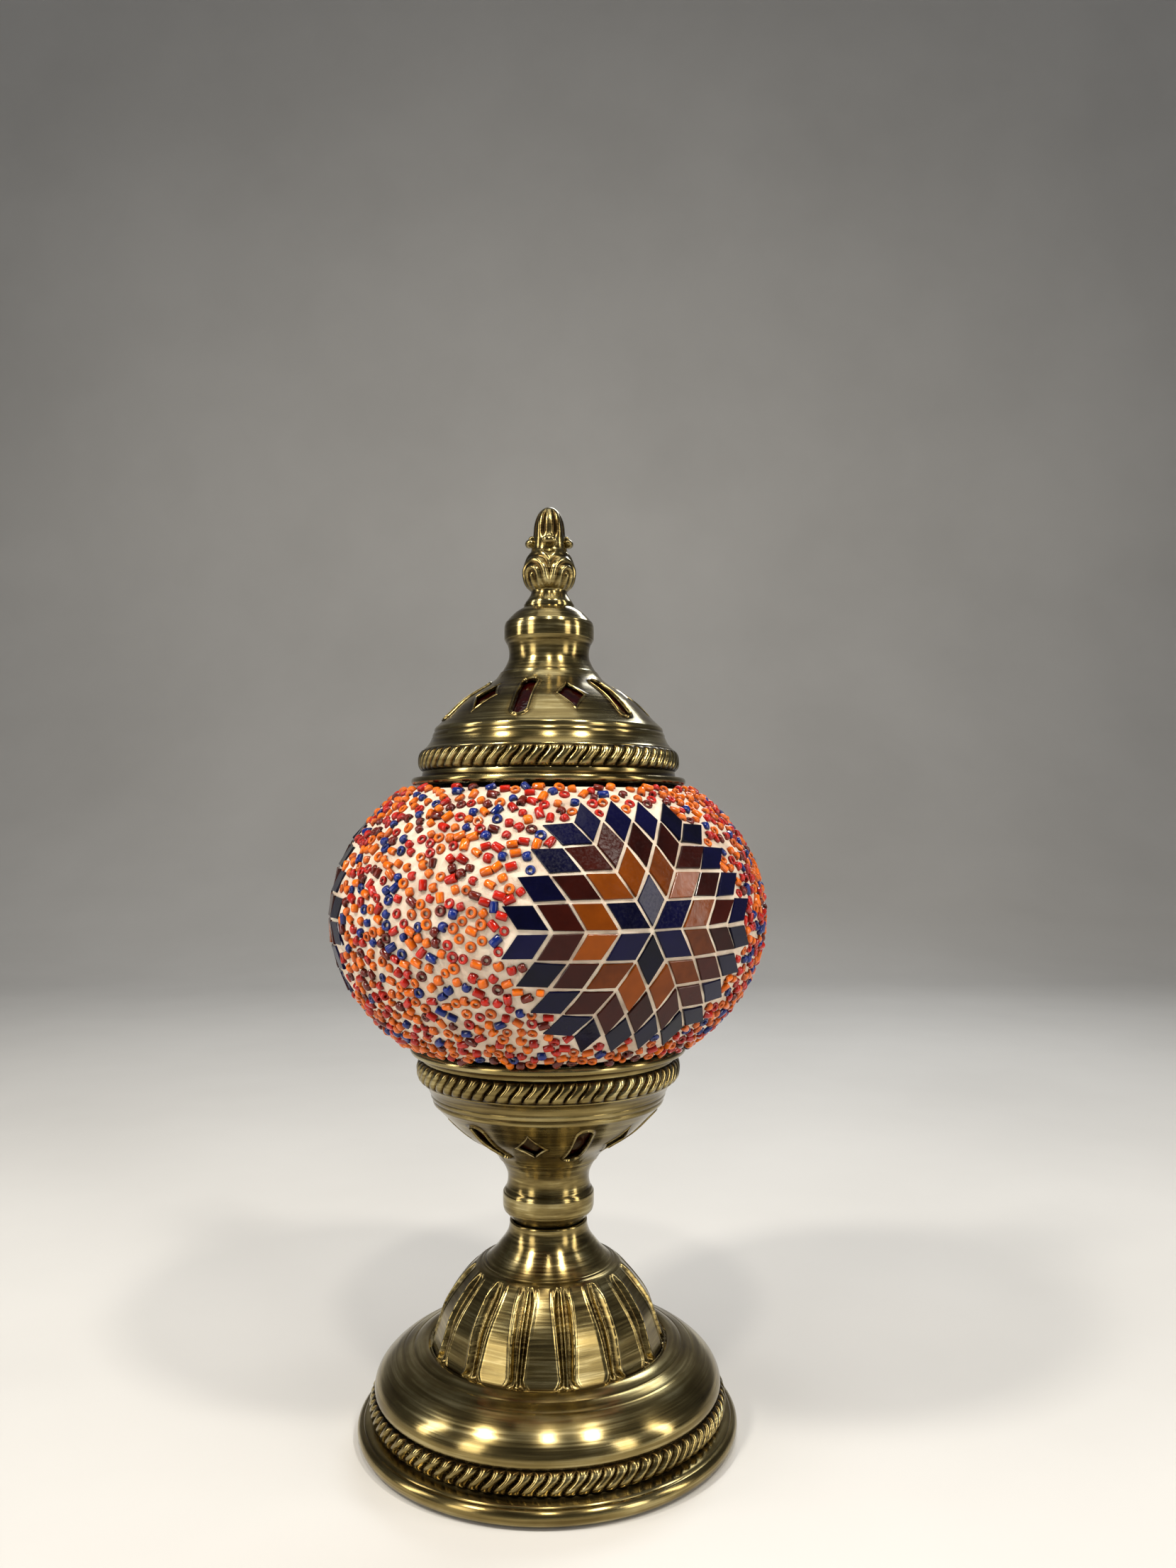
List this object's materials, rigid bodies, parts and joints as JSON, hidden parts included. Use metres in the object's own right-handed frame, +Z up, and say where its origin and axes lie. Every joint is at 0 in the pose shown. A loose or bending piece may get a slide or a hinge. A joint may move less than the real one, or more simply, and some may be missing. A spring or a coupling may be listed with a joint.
{
  "type": "mosaic glass table lamp",
  "caption": "Table lamp with an oblate glass globe covered in bead and cut-glass mosaic, held between pierced antique brass caps on a fluted foot, with a cast finial.",
  "frame": {"origin": "on the table under the middle of the lamp, at the underside of the felt pad", "axes": "+Z up the lamp's axis to the finial, -Y towards the front, +X to the right; the cord inlet is at the back"},
  "size_m": [0.1663, 0.1664, 0.35],
  "materials": {
    "antique_brass": "antiqued and lacquered, dark brown patina in the hollows, brushed round the axis",
    "steel": "zinc plated",
    "felt": "pressed felt",
    "rubber": "matt",
    "brass_hardware": "bright turned brass",
    "red_liner": "glossy translucent dark red sheet",
    "holder_plastic": "moulded phenolic",
    "white_ceramic": "unglazed steatite",
    "bulb_glass": "clear",
    "bulb_metal": "nickel plated, pressed thread",
    "black_glass": "opaque black",
    "filament": "phosphor coated",
    "globe_glass": "blown, clear",
    "grout": "off-white, matt, slightly sandy",
    "glass_beads": "transparent glass seed beads in orange, red, cobalt blue and dark red",
    "navy_glass": "cut glass, glossy, deep navy blue",
    "amber_glass": "cut glass, glossy, dark amber",
    "maroon_glass": "cut glass, glossy, dark maroon"
  },
  "bodies": {
    "base": {"base_shell": "antique_brass", "weight_plate": "steel", "felt_pad": "felt", "cord_grommet": "rubber", "threaded_tube": "steel", "tube_nuts": "brass_hardware", "tube_washers": "steel", "lower_cap": "antique_brass", "lower_liner": "red_liner", "lower_seat_ring": "rubber", "harp_bracket": "steel", "top_rod": "steel", "top_rod_nuts": "steel", "holder_shell": "holder_plastic", "holder_core": "white_ceramic", "thread_sleeve": "brass_hardware", "centre_contact": "brass_hardware", "terminal_blocks": "brass_hardware", "terminal_screws": "steel"},
    "bulb_screw": {"bulb_tip_contact": "bulb_metal"},
    "bulb": {"bulb_glass": "bulb_glass", "bulb_cap": "bulb_metal", "bulb_insulator": "black_glass", "bulb_stem": "bulb_glass", "bulb_filaments": "filament"},
    "globe": {"globe_glass": "globe_glass", "grout_layer": "grout", "bead_layer": "glass_beads", "tiles_navy": "navy_glass", "tiles_amber": "amber_glass", "tiles_maroon": "maroon_glass"},
    "top_cap": {"upper_cap": "antique_brass", "upper_liner": "red_liner", "upper_seat_ring": "rubber"},
    "finial_screw": {"finial_washer": "antique_brass"},
    "finial": {"finial": "antique_brass"}
  },
  "joints": [
    {"name": "globe_lift", "type": "slide", "parent": "base", "child": "globe", "axis": [0, 0, 1], "range_m": [0, 0.19]},
    {"name": "cap_lift", "type": "slide", "parent": "globe", "child": "top_cap", "axis": [0, 0, 1], "range_m": [0, 0.09]},
    {"name": "finial_rise", "type": "slide", "parent": "top_cap", "child": "finial_screw", "axis": [0, 0, 1], "range_m": [0, 0.0121]},
    {"name": "finial_turn", "type": "hinge", "parent": "finial_screw", "child": "finial", "pos_m": [0, 0, 0.312], "axis": [0, 0, 1], "range_deg": [0, 4320]},
    {"name": "bulb_rise", "type": "slide", "parent": "base", "child": "bulb_screw", "axis": [0, 0, 1], "range_m": [0, 0.0142]},
    {"name": "bulb_turn", "type": "hinge", "parent": "bulb_screw", "child": "bulb", "pos_m": [0, 0, 0.15], "axis": [0, 0, 1], "range_deg": [0, 1800]}
  ],
  "couplings": [
    {"joint": "finial_rise", "follows": "finial_turn", "m_per_rad": 0.00015915},
    {"joint": "bulb_rise", "follows": "bulb_turn", "m_per_rad": 0.00044914}
  ]
}
